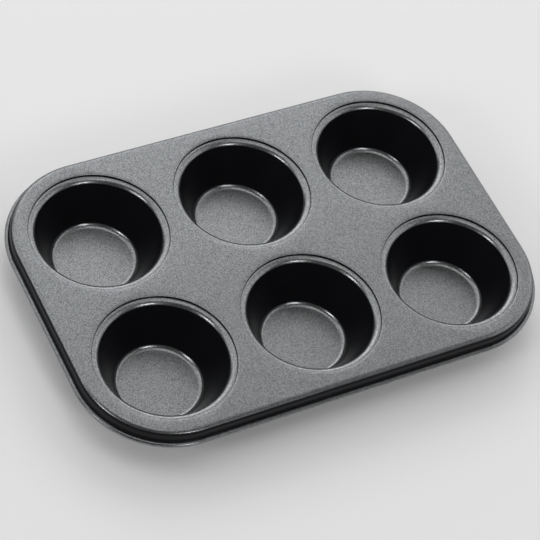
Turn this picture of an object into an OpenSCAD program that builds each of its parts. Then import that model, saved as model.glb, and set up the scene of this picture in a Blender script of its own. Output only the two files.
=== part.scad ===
// Six-cup baking pan in coated sheet steel.
// A pressed deck with a turned-down skirt carries six drawn cups in stepped seats.
// The skirt's lower edge is rolled outward round a steel wire.
// The pan stands on the floors of its cups, so the skirt hangs clear of the table.
// The origin is on the table, under the middle of the deck.
// X runs along the long side, Y across it towards the back row, and Z up.

/* [Cups] */
// Diameter at which a cup's flat flange starts to roll down into the cup
mouth_d = 72.6; // [60:0.2:90]
// Radius of the rolled mouth, on the side that shows
mouth_roll_r = 3.4; // [2:0.1:5]
// Width of the flat flange outside the rolled mouth
flange_w = 0.5; // [0.4:0.1:2]
// Depth of a cup's floor below the deck
cup_depth = 25.5; // [18:0.5:45]
// Diameter of the flat part of a cup's floor
floor_d = 40.8; // [28:0.2:46]
// Radius between the floor and the wall, inside the cup
floor_fillet_r = 3.2; // [2:0.1:7]
// Thickness of the cup sheet
cup_t = 0.5; // [0.4:0.05:0.8]

/* [Seats] */
// Depth of a cup's flange below the deck
seat_drop = 1.2; // [0.8:0.1:2.5]
// Clearance between a cup and its seat, all round
seat_clearance = 0.1; // [0.05:0.05:0.3]
// Width of the shallow dish pressed round each seat
dish_w = 2; // [1:0.1:3]
// Depth of the dish where it meets the seat
dish_drop = 0.25; // [0.1:0.05:0.5]
// Inner radius of the bend between the dish and the seat's wall
bend_r = 0.1; // [0.05:0.05:0.3]
// Length of the straight collar that hugs the cup below its rolled mouth
collar_l = 3; // [1:0.5:8]

/* [Deck] */
// Width of deck between two cups in a row
web_x = 9.5; // [6:0.1:30]
// Width of deck between the two rows of cups
web_y = 9; // [6:0.1:30]
// Width of deck outside the outer cups, up to the skirt
border = 9.5; // [8:0.1:30]
// Radius of the deck's corners, over the skirt
corner_r = 47.5; // [40:0.5:52]
// Thickness of the deck sheet
deck_t = 0.5; // [0.4:0.05:0.8]
// Radius over which the deck turns down into the skirt
deck_edge_r = 3.1; // [1:0.1:5]

/* [Skirt and rolled edge] */
// Height of the skirt, from the deck to the underside of the rolled edge
skirt_h = 9.6; // [7:0.1:16]
// Outward lean of the skirt, in degrees
skirt_lean = 1.5; // [0:0.5:8]
// Diameter of the steel wire in the rolled edge
wire_d = 1.6; // [1:0.1:3]
// Clearance between the wire and the sheet rolled round it
wire_clearance = 0.05; // [0.02:0.01:0.15]
// Angle round the wire that the free edge leaves open, beside the skirt
roll_open = 65; // [60:1:120]
// Gap between the wire's two ends, at the middle of the back edge
wire_end_gap = 1; // [0.2:0.1:3]

/* [Hidden] */
$fn = 96;

// Largest step along an arc in a section, in degrees
arc_step = 9;

// Heights over the table
floor_z = cup_t;
deck_z = floor_z + cup_depth;
flange_z = deck_z - seat_drop;
ledge_z = flange_z - cup_t;

// Radii of a cup and its seat
mouth_r = mouth_d / 2;
floor_r = floor_d / 2;
flange_r = mouth_r + flange_w;
seat_r = flange_r + seat_clearance;
dish_r = seat_r + dish_w;

// Cup centres and the deck's outline follow from the seats
pitch_x = 2 * seat_r + web_x;
pitch_y = 2 * seat_r + web_y;
deck_l = 2 * pitch_x + 2 * seat_r + 2 * border;
deck_w = pitch_y + 2 * seat_r + 2 * border;

// Slope of the cup's wall, tangent to the rolled mouth and to the floor fillet
cup_run = mouth_r - floor_r;
cup_fall = flange_z - floor_z;
cup_bends = mouth_roll_r + floor_fillet_r;
wall_reach = sqrt(pow(cup_run, 2) + pow(cup_fall - cup_bends, 2));
wall_slope = asin(cup_bends / wall_reach) + atan2(cup_fall - cup_bends, cup_run);
wall_l = (cup_fall - cup_bends * (1 - cos(wall_slope))) / sin(wall_slope);

// Rolled edge: the sheet is wrapped round the wire on the skirt's outer side
roll_in_r = wire_d / 2 + wire_clearance;
roll_out_r = roll_in_r + deck_t;
roll_z = deck_z - skirt_h + roll_out_r;
skirt_x = deck_edge_r + roll_in_r;
skirt_l = (deck_z - deck_edge_r - roll_z + skirt_x * sin(skirt_lean)) / cos(skirt_lean);

// Centres of the deck's edge radius and of the wire, in the section of the edge
edge_centre = [corner_r - deck_edge_r, deck_z - deck_edge_r];
wire_centre = edge_centre + turned([skirt_x, -skirt_l], skirt_lean);

// Points along an arc about a centre, from one angle to another
function arc(centre, r, from, to) =
  let (steps = ceil(abs(to - from) / arc_step))
  [for (i = [0:steps]) centre + r * [cos(from + (to - from) * i / steps),
                                     sin(from + (to - from) * i / steps)]];

// A point turned about the origin
function turned(point, angle) = [
  point.x * cos(angle) - point.y * sin(angle),
  point.x * sin(angle) + point.y * cos(angle)
];

// Half section of a cup, first along its inner face and then back along its outer face
module cup_section() {
  mouth = [mouth_r, flange_z - mouth_roll_r];
  foot = [floor_r, floor_z + floor_fillet_r];
  polygon(concat(
    [[flange_r, flange_z]],
    arc(mouth, mouth_roll_r, 90, 90 + wall_slope),
    arc(foot, floor_fillet_r, wall_slope - 90, -90),
    [[0, floor_z], [0, 0]],
    arc(foot, floor_fillet_r + cup_t, -90, wall_slope - 90),
    arc(mouth, mouth_roll_r - cup_t, 90 + wall_slope, 90),
    [[flange_r, ledge_z]]
  ));
}

// Half section of a seat: dish, bend, seat wall, ledge and the collar that follows the cup
module seat_section() {
  bend_out_r = bend_r + deck_t;
  dish_slope = atan2(dish_drop, dish_w);
  dish_fall = dish_drop + bend_out_r * (1 / cos(dish_slope) - tan(dish_slope));
  bend = [seat_r + bend_out_r, deck_z - dish_fall];
  corner = [seat_r, ledge_z];
  mouth = [mouth_r + seat_clearance, flange_z - mouth_roll_r];
  collar_r = mouth_roll_r - cup_t;
  polygon(concat(
    [[dish_r, deck_z]],
    arc(bend, bend_out_r, 90 + dish_slope, 180),
    [corner],
    arc(mouth, collar_r, 90, 90 + wall_slope),
    [mouth + turned([-collar_l, collar_r], wall_slope)],
    [mouth + turned([-collar_l, collar_r - deck_t], wall_slope)],
    arc(mouth, collar_r - deck_t, 90 + wall_slope, 90),
    arc(corner, deck_t, -90, 0),
    arc(bend, bend_r, 180, 90 + dish_slope),
    [[dish_r, deck_z - deck_t]]
  ));
}

// Section of the deck's edge, measured outward from the corner's centre
module edge_section() {
  roll_from = 180 + skirt_lean;
  roll_to = roll_from + 360 - roll_open;
  polygon(concat(
    arc(edge_centre, deck_edge_r, 90, skirt_lean),
    arc(wire_centre, roll_in_r, roll_from, roll_to),
    arc(wire_centre, roll_out_r, roll_to, roll_from),
    arc(edge_centre, deck_edge_r - deck_t, skirt_lean, 90)
  ));
}

// Section of the wire, in the middle of the roll
module wire_section() {
  translate(wire_centre) circle(wire_d / 2);
}

// Carries a section round the deck's outline, along four sides and four corners
module round_the_deck() {
  side_l = deck_l - 2 * corner_r;
  side_w = deck_w - 2 * corner_r;
  for (turn = [0, 180]) {
    rotate(turn) {
      translate([side_l / 2, 0, 0]) rotate([90, 0, 0])
        linear_extrude(side_w, center = true) children();
      translate([0, side_w / 2, 0]) rotate([90, 0, 90])
        linear_extrude(side_l, center = true) children();
      translate([side_l / 2, side_w / 2, 0]) rotate_extrude(angle = 90) children();
      translate([-side_l / 2, side_w / 2, 0]) rotate(90)
        rotate_extrude(angle = 90) children();
    }
  }
}

// Places a thing at the centre of every cup
module at_cups() {
  for (column = [-1, 0, 1], row = [-0.5, 0.5])
    translate([column * pitch_x, row * pitch_y, 0]) children();
}

// Flat middle of the deck, up to the turned-down edge, with a hole for each seat
module deck_outline() {
  flat_l = deck_l - 2 * deck_edge_r;
  flat_w = deck_w - 2 * deck_edge_r;
  flat_r = corner_r - deck_edge_r;
  difference() {
    union() {
      square([flat_l, flat_w - 2 * flat_r], center = true);
      square([flat_l - 2 * flat_r, flat_w], center = true);
      for (x = [-1, 1], y = [-1, 1])
        translate([x * (flat_l / 2 - flat_r), y * (flat_w / 2 - flat_r)]) circle(flat_r);
    }
    at_cups() circle(dish_r);
  }
}

module deck_frame() {
  color("dimgray") {
    translate([0, 0, deck_z - deck_t]) linear_extrude(deck_t) deck_outline();
    round_the_deck() edge_section();
    at_cups() rotate_extrude() seat_section();
  }
}

module rim_wire() {
  color("silver") difference() {
    round_the_deck() wire_section();
    translate([0, deck_w / 2, roll_z])
      cube([wire_end_gap, 4 * roll_out_r, 4 * roll_out_r], center = true);
  }
}

// One cup, by its column from the left and its row from the front
module cup(column, row) {
  color("gray") translate([column * pitch_x, row * pitch_y, 0])
    rotate_extrude() cup_section();
}

deck_frame();
rim_wire();
cup(-1, 0.5);  // cup_back_left
cup(0, 0.5);  // cup_back_middle
cup(1, 0.5);  // cup_back_right
cup(-1, -0.5);  // cup_front_left
cup(0, -0.5);  // cup_front_middle
cup(1, -0.5);  // cup_front_right
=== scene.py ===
"""Six-cup baking pan in coated sheet steel, on a pale floor in soft studio light."""
from math import atan2, asin, ceil, cos, degrees, hypot, pi, radians, sin, tan

import bmesh
import bpy
from mathutils import Matrix, Vector


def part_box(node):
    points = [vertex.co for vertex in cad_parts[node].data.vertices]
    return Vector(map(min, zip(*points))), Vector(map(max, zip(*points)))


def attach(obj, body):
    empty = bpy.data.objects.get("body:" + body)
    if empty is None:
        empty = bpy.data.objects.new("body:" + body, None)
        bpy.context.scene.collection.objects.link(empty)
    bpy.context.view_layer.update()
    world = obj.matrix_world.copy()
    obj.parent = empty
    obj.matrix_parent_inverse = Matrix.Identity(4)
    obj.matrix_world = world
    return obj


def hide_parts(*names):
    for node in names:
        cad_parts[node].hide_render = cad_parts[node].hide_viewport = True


MM = 0.001

# Cups, in millimetres
MOUTH_R = 36.3
MOUTH_ROLL_R = 3.4
FLANGE_W = 0.5
CUP_DEPTH = 25.5
FLOOR_R = 20.4
FLOOR_FILLET_R = 3.2
SHEET_T = 0.5

# Seats, in millimetres
SEAT_DROP = 1.2
SEAT_CLEARANCE = 0.1
DISH_W = 2.0
DISH_DROP = 0.25
BEND_R = 0.1
COLLAR_L = 3.0

# Deck, skirt and rolled edge, in millimetres and degrees
CORNER_R = 47.5
DECK_EDGE_R = 3.1
SKIRT_H = 9.6
SKIRT_LEAN = 1.5
WIRE_R = 0.8
WIRE_CLEARANCE = 0.05
ROLL_OPEN = 65.0

# Heights and radii that follow
DECK_Z = SHEET_T + CUP_DEPTH
FLANGE_Z = DECK_Z - SEAT_DROP
LEDGE_Z = FLANGE_Z - SHEET_T
FLANGE_R = MOUTH_R + FLANGE_W
SEAT_R = FLANGE_R + SEAT_CLEARANCE
DISH_R = SEAT_R + DISH_W
ROLL_IN_R = WIRE_R + WIRE_CLEARANCE
ROLL_OUT_R = ROLL_IN_R + SHEET_T
ROLL_Z = DECK_Z - SKIRT_H + ROLL_OUT_R
ROLL_TOP = ROLL_Z + ROLL_OUT_R

# Smoothness of the curves: largest step along an arc in degrees, and steps round a cup and a corner
ARC_STEP = 5.0
ROUND_STEPS = 144
CORNER_STEPS = 36

# Edges that bend by more than this stay sharp
SHARP_ANGLE = radians(30)

# Vertices closer than this, in metres, are one
WELD = 1e-6

CUPS = [f"cup_{row}_{column}" for row in ("back", "front")
        for column in ("left", "middle", "right")]

# Size of a fleck in the coating, in millimetres. The real one is about a quarter of this, too fine
# to show from here.
FLECK = 0.22

# How far the flecks stand up, in millimetres, and how much of that shows
GRAIN_DEPTH = 0.01
GRAIN_STRENGTH = 0.06

# Coating: its black, and the darkest and palest flecks on the deck and in the cups. The cups' flecks
# are painted paler than the deck's, a lit copy of the same coating that makes up for the shade inside
# the cups.
COAT_BLACK = "#131316"
DECK_FLECK = "#484a4c", "#acaeb0"
CUP_FLECK_PAINTED_PALER = "#4d4f50", "#b6b8b9"

# Coating: the low index of a fluoropolymer, its gloss, which is half of a clean surface's, and its
# roughness on steep faces and on level ones
COAT_IOR = 1.35
COAT_GLOSS = 0.25
COAT_ROUGHNESS = 0.28, 0.36

# The upward part of a face's normal at which the fleck starts and is whole. Steeper faces are painted
# plain black, a painted shade, and faces above it get the fleck's grey sheen, a painted sheen.
# The deck's starts higher, so more of its edge and seat bends are painted black: painted shade at the
# edge and at the seat step.
DECK_PAINTED_SHEEN_REACH = 0.6, 0.8
CUP_PAINTED_SHEEN_REACH = 0.45, 0.62

# The same for the roughness of level faces
ROUGH_REACH = 0.85, 0.99

# Height over which the roll's painted sheen fades into the skirt's painted black, in millimetres
ROLL_SHEEN_FADE = 0.3

# Wire: its grey, the size of its streaks in millimetres, and its least and greatest roughness
WIRE_GREY = "#a8a7a5"
WIRE_STREAK = 0.6
WIRE_ROUGHNESS = 0.25, 0.45

# Floor: distance from its middle to its edges in metres, its paper, and what it adds for the eye
# and for gloss, as a share of white
FLOOR_REACH = 3
PAPER_WHITE = "#f8f8f8"
PAPER_ROUGHNESS = 0.9
FLOOR_LIFT = 0.07

# Softboxes: azimuth and elevation in degrees, distance, width and height in metres, and watts
LAMPS = {
    "key_softbox": (70, 36, 2.2, 1.3, 0.9, 5),
    "wide_softbox": (60, 35, 2.4, 4.4, 2.0, 26.5),
    "left_panel": (134, 34, 2.2, 1.4, 1.9, 8.5),
    "right_panel": (345, 27, 2.2, 2.2, 2.2, 11.5),
    "ceiling_panel": (100, 84, 2.0, 1.0, 1.8, 6.5),
    "left_lamp": (186, 29, 2.2, 0.5, 0.6, 6.5),
    "right_lamp": (275, 32, 2.2, 0.5, 0.6, 6),
}

# Brightness of the room round the softboxes
ROOM_LIGHT = 0.09

# Camera, at the photograph's viewing angle: degrees, metres, and the lens in millimetres.
# With no turn it would look along +Y.
CAMERA_TURN = -38.941
CAMERA_ELEVATION = 52.282
CAMERA_ROLL = 16.149
CAMERA_DISTANCE = 1.19718
CAMERA_TARGET = Vector((-0.00899, -0.01048, 0.026))
CAMERA_CLIP = 0.01, 50
SENSOR_WIDTH = 36
LENS = 153.71


def wall_slope():
    """Slope of a cup's wall, tangent to the rolled mouth and to the floor fillet."""
    run = MOUTH_R - FLOOR_R
    fall = FLANGE_Z - SHEET_T
    bends = MOUTH_ROLL_R + FLOOR_FILLET_R
    reach = hypot(run, fall - bends)
    return degrees(asin(bends / reach) + atan2(fall - bends, run))


def around(centre, r, angle):
    """The point at a radius and an angle in degrees from a centre."""
    return (centre[0] + r * cos(radians(angle)), centre[1] + r * sin(radians(angle)))


def draw_profile(bm, strokes):
    """Draws a section in the XZ plane. A stroke is a point, or an arc as its centre and its angle."""
    last = None
    for stroke in strokes:
        if len(stroke) == 2:
            vert = bm.verts.new((stroke[0] * MM, 0, stroke[1] * MM))
            if last is not None:
                bm.edges.new((last, vert))
            last = vert
        else:
            x, z, angle = stroke
            steps = max(1, ceil(abs(angle) / ARC_STEP))
            arc = bmesh.ops.spin(bm, geom=[last], cent=(x * MM, 0, z * MM), axis=(0, -1, 0),
                                 angle=radians(angle), steps=steps, use_duplicate=False)
            last = next(v for v in arc["geom_last"] if isinstance(v, bmesh.types.BMVert))


def new_profile(strokes):
    """A new mesh that holds one section."""
    bm = bmesh.new()
    draw_profile(bm, strokes)
    bmesh.ops.remove_doubles(bm, verts=bm.verts, dist=WELD)
    return bm


def revolve(bm):
    """Turns a section once round the Z axis."""
    bmesh.ops.spin(bm, geom=bm.verts[:] + bm.edges[:], cent=(0, 0, 0), axis=(0, 0, 1),
                   angle=2 * pi, steps=ROUND_STEPS, use_merge=True, use_duplicate=False)
    bmesh.ops.remove_doubles(bm, verts=bm.verts, dist=WELD)


def cup_strokes():
    """Section of a cup: along its inner face from the middle of the floor, and back outside."""
    slope = wall_slope()
    mouth = (MOUTH_R, FLANGE_Z - MOUTH_ROLL_R)
    foot = (FLOOR_R, SHEET_T + FLOOR_FILLET_R)
    return [
        (0, SHEET_T),
        (FLOOR_R, SHEET_T),
        (*foot, slope),
        around(mouth, MOUTH_ROLL_R, 90 + slope),
        (*mouth, -slope),
        (FLANGE_R, FLANGE_Z),
        (FLANGE_R, LEDGE_Z),
        (MOUTH_R, LEDGE_Z),
        (*mouth, slope),
        around(foot, FLOOR_FILLET_R + SHEET_T, slope - 90),
        (*foot, -slope),
        (0, 0),
    ]


def seat_strokes():
    """Section of a seat: dish, bend, wall, ledge and collar, and back underneath."""
    slope = wall_slope()
    dish_slope = degrees(atan2(DISH_DROP, DISH_W))
    bend_out_r = BEND_R + SHEET_T
    tilt = radians(dish_slope)
    fall = DISH_DROP + bend_out_r * (1 / cos(tilt) - tan(tilt))
    bend = (SEAT_R + bend_out_r, DECK_Z - fall)
    mouth = (MOUTH_R + SEAT_CLEARANCE, FLANGE_Z - MOUTH_ROLL_R)
    collar_r = MOUTH_ROLL_R - SHEET_T
    collar = Vector((cos(radians(slope)), sin(radians(slope)))) * COLLAR_L
    inner_end = Vector(around(mouth, collar_r, 90 + slope)) - collar
    outer_end = Vector(around(mouth, collar_r - SHEET_T, 90 + slope)) - collar
    return [
        (DISH_R, DECK_Z),
        around(bend, bend_out_r, 90 + dish_slope),
        (*bend, 90 - dish_slope),
        (SEAT_R, LEDGE_Z),
        (mouth[0], LEDGE_Z),
        (*mouth, slope),
        tuple(inner_end),
        tuple(outer_end),
        around(mouth, collar_r - SHEET_T, 90 + slope),
        (*mouth, -slope),
        (SEAT_R, LEDGE_Z - SHEET_T),
        (SEAT_R, LEDGE_Z, 90),
        (bend[0] - BEND_R, bend[1]),
        (*bend, dish_slope - 90),
        (DISH_R, DECK_Z - SHEET_T),
    ]


def edge_strokes():
    """Section of the deck's edge, outward from a corner's centre: edge, skirt and roll."""
    edge = (CORNER_R - DECK_EDGE_R, DECK_Z - DECK_EDGE_R)
    lean = radians(SKIRT_LEAN)
    skirt_x = DECK_EDGE_R + ROLL_IN_R
    skirt_l = (edge[1] - ROLL_Z + skirt_x * sin(lean)) / cos(lean)
    wire = (edge[0] + skirt_x * cos(lean) + skirt_l * sin(lean), ROLL_Z)
    wrap = 360 - ROLL_OPEN
    return [
        (edge[0], DECK_Z),
        (*edge, SKIRT_LEAN - 90),
        around(wire, ROLL_IN_R, 180 + SKIRT_LEAN),
        (*wire, wrap),
        around(wire, ROLL_OUT_R, 180 + SKIRT_LEAN + wrap),
        (*wire, -wrap),
        around(edge, DECK_EDGE_R - SHEET_T, SKIRT_LEAN),
        (*edge, 90 - SKIRT_LEAN),
    ]


def finish_piece(bm, name, material, *nodes):
    """Closes a piece's mesh, smooths what is round, and puts it in place of its CAD node."""
    bmesh.ops.remove_doubles(bm, verts=bm.verts, dist=WELD)
    bmesh.ops.recalc_face_normals(bm, faces=bm.faces)
    mesh = bpy.data.meshes.new(name)
    bm.to_mesh(mesh)
    bm.free()
    mesh.shade_smooth()
    mesh.set_sharp_from_angle(angle=SHARP_ANGLE)
    piece = bpy.data.objects.new(name, mesh)
    bpy.context.scene.collection.objects.link(piece)
    piece.data.materials.append(material)
    weighted = piece.modifiers.new("flat faces stay flat", "WEIGHTED_NORMAL")
    weighted.mode = "FACE_AREA"
    weighted.weight = 100
    weighted.keep_sharp = True
    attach(piece, "root")
    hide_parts(*nodes)
    return piece


def cup_centre(node):
    """Centre of a cup on the floor, from its CAD node."""
    low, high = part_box(node)
    return Vector(((low.x + high.x) / 2, (low.y + high.y) / 2, 0))


def drawn_cup(node, material):
    """One cup, drawn from sheet, with a rolled mouth and a flat floor."""
    bm = new_profile(cup_strokes())
    revolve(bm)
    bmesh.ops.translate(bm, verts=bm.verts, vec=cup_centre(node))
    piece = finish_piece(bm, "drawn_" + node, material, node)


def add_seat(bm, centre):
    """Adds one seat to the deck's mesh."""
    seat = new_profile(seat_strokes())
    revolve(seat)
    bmesh.ops.translate(seat, verts=seat.verts, vec=centre)
    mesh = bpy.data.meshes.new("seat")
    seat.to_mesh(mesh)
    seat.free()
    bm.from_mesh(mesh)
    bpy.data.meshes.remove(mesh)


def add_edge(bm, half_l, half_w):
    """Carries the edge's section round the deck: a quarter turn and a straight side, four times."""
    draw_profile(bm, edge_strokes())
    corners = [(half_l, half_w), (-half_l, half_w), (-half_l, -half_w), (half_l, -half_w)]
    bmesh.ops.translate(bm, verts=bm.verts, vec=(half_l, half_w, 0))
    geom = bm.verts[:] + bm.edges[:]
    for i, (x, y) in enumerate(corners):
        turned = bmesh.ops.spin(bm, geom=geom, cent=(x, y, 0), axis=(0, 0, 1), angle=pi / 2,
                                steps=CORNER_STEPS, use_duplicate=False)
        next_x, next_y = corners[(i + 1) % len(corners)]
        pulled = bmesh.ops.extrude_edge_only(
            bm, edges=[e for e in turned["geom_last"] if isinstance(e, bmesh.types.BMEdge)])
        geom = [g for g in pulled["geom"] if not isinstance(g, bmesh.types.BMFace)]
        verts = [g for g in geom if isinstance(g, bmesh.types.BMVert)]
        bmesh.ops.translate(bm, verts=verts, vec=(next_x - x, next_y - y, 0))
    bmesh.ops.remove_doubles(bm, verts=bm.verts, dist=WELD)


def fill_flat(bm, z):
    """Fills the flat sheet between the deck's edge and its seats at one height."""
    rims = [e for e in bm.edges
            if e.is_boundary and all(abs(v.co.z - z) < WELD for v in e.verts)]
    bmesh.ops.triangle_fill(bm, edges=rims, use_beauty=True, use_dissolve=False,
                            normal=(0, 0, 1))


def pressed_deck(material):
    """The deck: pressed sheet with six seats, a turned-down skirt and a rolled edge."""
    deck_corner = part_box("deck_frame")[1]
    section = new_profile(edge_strokes())
    reach = max(v.co.x for v in section.verts)
    section.free()
    bm = bmesh.new()
    add_edge(bm, deck_corner.x - reach, deck_corner.y - reach)
    for node in CUPS:
        add_seat(bm, cup_centre(node))
    bmesh.ops.remove_doubles(bm, verts=bm.verts, dist=WELD)
    fill_flat(bm, DECK_Z * MM)
    fill_flat(bm, (DECK_Z - SHEET_T) * MM)
    piece = finish_piece(bm, "pressed_deck", material, "deck_frame")


def linear(hex_colour):
    """An sRGB hex colour as linear red, green, blue and alpha."""
    parts = [int(hex_colour[i:i + 2], 16) / 255 for i in (1, 3, 5)]
    return [p / 12.92 if p <= 0.04045 else ((p + 0.055) / 1.055) ** 2.4 for p in parts] + [1]


def add_node(tree, kind, settings=None, links=None):
    """Adds a node with its settings, and links inputs, by name or number, to other outputs."""
    node = tree.nodes.new(kind)
    for name, value in (settings or {}).items():
        if name in node.inputs:
            node.inputs[name].default_value = value
        else:
            setattr(node, name, value)
    for name, source in (links or {}).items():
        tree.links.new(source, node.inputs[name])
    return node


def new_material(name):
    """An empty node material."""
    material = bpy.data.materials.new(name)
    material.use_nodes = True
    material.node_tree.nodes.clear()
    return material, material.node_tree


def coated_steel(name, shades, reach, roll_top=None):
    """Non-stick coating, sprayed on and baked: black and satin, with a metal fleck in it.

    The fleck is put on by how level a face is. Level faces get a grey, grainy sheen, a painted
    sheen, and the steep walls are painted a plain, deep black, a painted shade. Below roll_top the
    rolled edge gets the fleck all round, a painted sheen on every side of it.
    """
    material, tree = new_material(name)
    place = add_node(tree, "ShaderNodeTexCoord")
    grain = add_node(tree, "ShaderNodeTexVoronoi", {"Scale": 1 / (FLECK * MM)},
                     {"Vector": place.outputs["Object"]})
    chance = add_node(tree, "ShaderNodeSeparateColor", links={"Color": grain.outputs["Color"]})
    fleck = add_node(tree, "ShaderNodeMix",
                     {"data_type": "RGBA", "A": linear(shades[0]), "B": linear(shades[1])},
                     {"Factor": chance.outputs["Red"]})
    facing = add_node(tree, "ShaderNodeSeparateXYZ", links={"Vector": place.outputs["Normal"]})
    upright = add_node(tree, "ShaderNodeMath", {"operation": "ABSOLUTE"},
                       {0: facing.outputs["Z"]}).outputs["Value"]
    # Painted sheen and shade: faces that point up or down get the fleck's grey sheen, and steep faces
    # are painted plain black.
    painted_sheen_mask = add_node(tree, "ShaderNodeMapRange",
                     {"interpolation_type": "SMOOTHSTEP",
                      "From Min": reach[0], "From Max": reach[1]},
                     {"Value": upright}).outputs["Result"]
    # Painted sheen: below roll_top the fleck is whole all round, so the rolled edge is grey on every
    # side.
    if roll_top is not None:
        spot = add_node(tree, "ShaderNodeSeparateXYZ", links={"Vector": place.outputs["Object"]})
        low = add_node(tree, "ShaderNodeMapRange",
                       {"From Min": roll_top * MM, "From Max": (roll_top + ROLL_SHEEN_FADE) * MM,
                        "To Min": 1.0, "To Max": 0.0}, {"Value": spot.outputs["Z"]})
        painted_sheen_mask = add_node(tree, "ShaderNodeMath", {"operation": "MAXIMUM"},
                         {0: painted_sheen_mask, 1: low.outputs["Result"]}).outputs["Value"]
    colour = add_node(tree, "ShaderNodeMix", {"data_type": "RGBA", "A": linear(COAT_BLACK)},
                      {"Factor": painted_sheen_mask, "B": fleck.outputs["Result"]})
    rough = add_node(tree, "ShaderNodeMapRange",
                     {"From Min": ROUGH_REACH[0], "From Max": ROUGH_REACH[1],
                      "To Min": COAT_ROUGHNESS[0], "To Max": COAT_ROUGHNESS[1]},
                     {"Value": upright})
    bump = add_node(tree, "ShaderNodeBump",
                    {"Strength": GRAIN_STRENGTH, "Distance": GRAIN_DEPTH * MM},
                    {"Height": grain.outputs["Distance"]})
    shader = add_node(tree, "ShaderNodeBsdfPrincipled",
                      {"IOR": COAT_IOR, "Specular IOR Level": COAT_GLOSS},
                      {"Base Color": colour.outputs["Result"], "Metallic": painted_sheen_mask,
                       "Roughness": rough.outputs["Result"], "Normal": bump.outputs["Normal"]})
    add_node(tree, "ShaderNodeOutputMaterial", links={"Surface": shader.outputs["BSDF"]})
    return material


def drawn_wire(name):
    """Plain drawn steel wire: a bright, slightly streaked metal."""
    material, tree = new_material(name)
    place = add_node(tree, "ShaderNodeTexCoord")
    streak = add_node(tree, "ShaderNodeTexNoise", {"Scale": 1 / (WIRE_STREAK * MM), "Detail": 1.0},
                      {"Vector": place.outputs["Object"]})
    rough = add_node(tree, "ShaderNodeMapRange",
                     {"To Min": WIRE_ROUGHNESS[0], "To Max": WIRE_ROUGHNESS[1]},
                     {"Value": streak.outputs["Fac"]})
    shader = add_node(tree, "ShaderNodeBsdfPrincipled",
                      {"Base Color": linear(WIRE_GREY), "Metallic": 1.0},
                      {"Roughness": rough.outputs["Result"]})
    add_node(tree, "ShaderNodeOutputMaterial", links={"Surface": shader.outputs["BSDF"]})
    return material


def floor_paper(name):
    """Matt white paper. The camera and gloss see it a little paler than it is."""
    material, tree = new_material(name)
    shader = add_node(tree, "ShaderNodeBsdfPrincipled",
                      {"Base Color": linear(PAPER_WHITE), "Roughness": PAPER_ROUGHNESS,
                       "Specular IOR Level": 0.0})
    path = add_node(tree, "ShaderNodeLightPath")
    seen = add_node(tree, "ShaderNodeMath", {"operation": "ADD"},
                    {0: path.outputs["Is Camera Ray"], 1: path.outputs["Is Glossy Ray"]})
    either = add_node(tree, "ShaderNodeMath", {"operation": "ADD"},
                      {0: seen.outputs["Value"], 1: path.outputs["Is Transmission Ray"]})
    lift = add_node(tree, "ShaderNodeMath", {"operation": "MULTIPLY"},
                    {0: either.outputs["Value"]})
    lift.inputs[1].default_value = FLOOR_LIFT
    glow = add_node(tree, "ShaderNodeEmission", {"Color": linear("#ffffff")},
                    {"Strength": lift.outputs["Value"]})
    both = add_node(tree, "ShaderNodeAddShader",
                    links={0: shader.outputs["BSDF"], 1: glow.outputs["Emission"]})
    add_node(tree, "ShaderNodeOutputMaterial", links={"Surface": both.outputs["Shader"]})
    return material


def pale_floor():
    """The studio floor under the pan."""
    bm = bmesh.new()
    bmesh.ops.create_grid(bm, x_segments=1, y_segments=1, size=FLOOR_REACH)
    mesh = bpy.data.meshes.new("studio_floor")
    bm.to_mesh(mesh)
    bm.free()
    mesh.materials.append(floor_paper("matt_white_paper"))
    floor = bpy.data.objects.new("studio_floor", mesh)
    bpy.context.scene.collection.objects.link(floor)


def direction(azimuth, elevation):
    """The unit vector towards an azimuth, anticlockwise from +X, and an elevation in degrees."""
    a, e = radians(azimuth), radians(elevation)
    return Vector((cos(a) * cos(e), sin(a) * cos(e), sin(e)))


def soft_lamp(name, azimuth, elevation, distance, width, height, watts):
    """A rectangular softbox that faces the pan."""
    light = bpy.data.lights.new(name, "AREA")
    light.shape = "RECTANGLE"
    light.size, light.size_y = width, height
    light.energy = watts
    lamp = bpy.data.objects.new(name, light)
    towards = direction(azimuth, elevation)
    lamp.location = towards * distance
    lamp.rotation_euler = towards.to_track_quat("Z", "Y").to_euler()
    bpy.context.scene.collection.objects.link(lamp)


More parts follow.
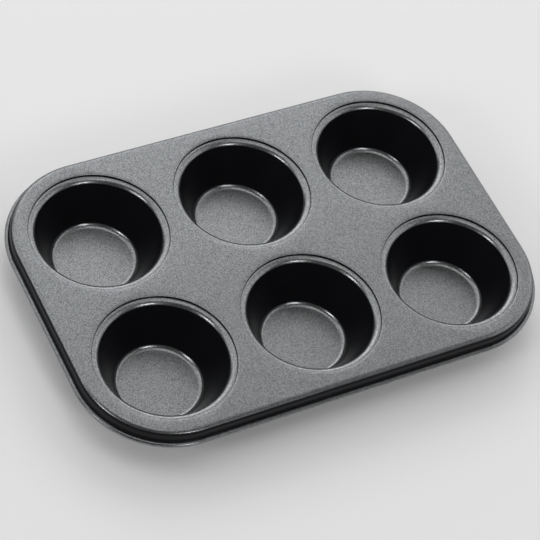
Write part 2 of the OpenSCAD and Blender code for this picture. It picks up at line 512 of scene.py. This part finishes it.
def light_the_studio():
    """Large softboxes beyond, above and beside the pan, two small ones, and a dim room."""
    for name, lamp in LAMPS.items():
        soft_lamp(name, *lamp)
    world = bpy.data.worlds.new("studio")
    world.use_nodes = True
    tree = world.node_tree
    tree.nodes.clear()
    room = add_node(tree, "ShaderNodeBackground",
                    {"Color": linear("#ffffff"), "Strength": ROOM_LIGHT})
    add_node(tree, "ShaderNodeOutputWorld", links={"Surface": room.outputs["Background"]})
    bpy.context.scene.world = world


def place_camera():
    """The camera stands in front, to the left and above, and is turned about its own axis."""
    camera = bpy.data.cameras.new("camera")
    camera.lens = LENS
    camera.sensor_width = SENSOR_WIDTH
    camera.clip_start, camera.clip_end = CAMERA_CLIP
    turn = (Matrix.Rotation(radians(CAMERA_TURN), 4, "Z")
            @ Matrix.Rotation(radians(90 - CAMERA_ELEVATION), 4, "X")
            @ Matrix.Rotation(radians(CAMERA_ROLL), 4, "Z"))
    view = bpy.data.objects.new("camera", camera)
    view.matrix_world = (Matrix.Translation(CAMERA_TARGET) @ turn
                         @ Matrix.Translation((0, 0, CAMERA_DISTANCE)))
    bpy.context.scene.collection.objects.link(view)
    bpy.context.scene.camera = view


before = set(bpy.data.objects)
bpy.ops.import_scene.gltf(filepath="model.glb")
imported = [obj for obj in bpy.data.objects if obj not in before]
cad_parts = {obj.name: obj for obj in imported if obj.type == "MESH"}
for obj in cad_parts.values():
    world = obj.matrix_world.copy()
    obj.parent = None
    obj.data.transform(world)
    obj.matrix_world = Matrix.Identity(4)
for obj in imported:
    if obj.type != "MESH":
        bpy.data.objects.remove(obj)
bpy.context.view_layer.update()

cup_coating = coated_steel("non_stick_coating", CUP_FLECK_PAINTED_PALER, CUP_PAINTED_SHEEN_REACH)
for node in CUPS:
    drawn_cup(node, cup_coating)
pressed_deck(coated_steel("non_stick_coating_rolled_edge", DECK_FLECK, DECK_PAINTED_SHEEN_REACH, ROLL_TOP))
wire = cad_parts["rim_wire"]
wire.data.materials.clear()
wire.data.materials.append(drawn_wire("drawn_steel_wire"))

pale_floor()
place_camera()
light_the_studio()
bpy.context.scene.view_settings.view_transform = "Standard"
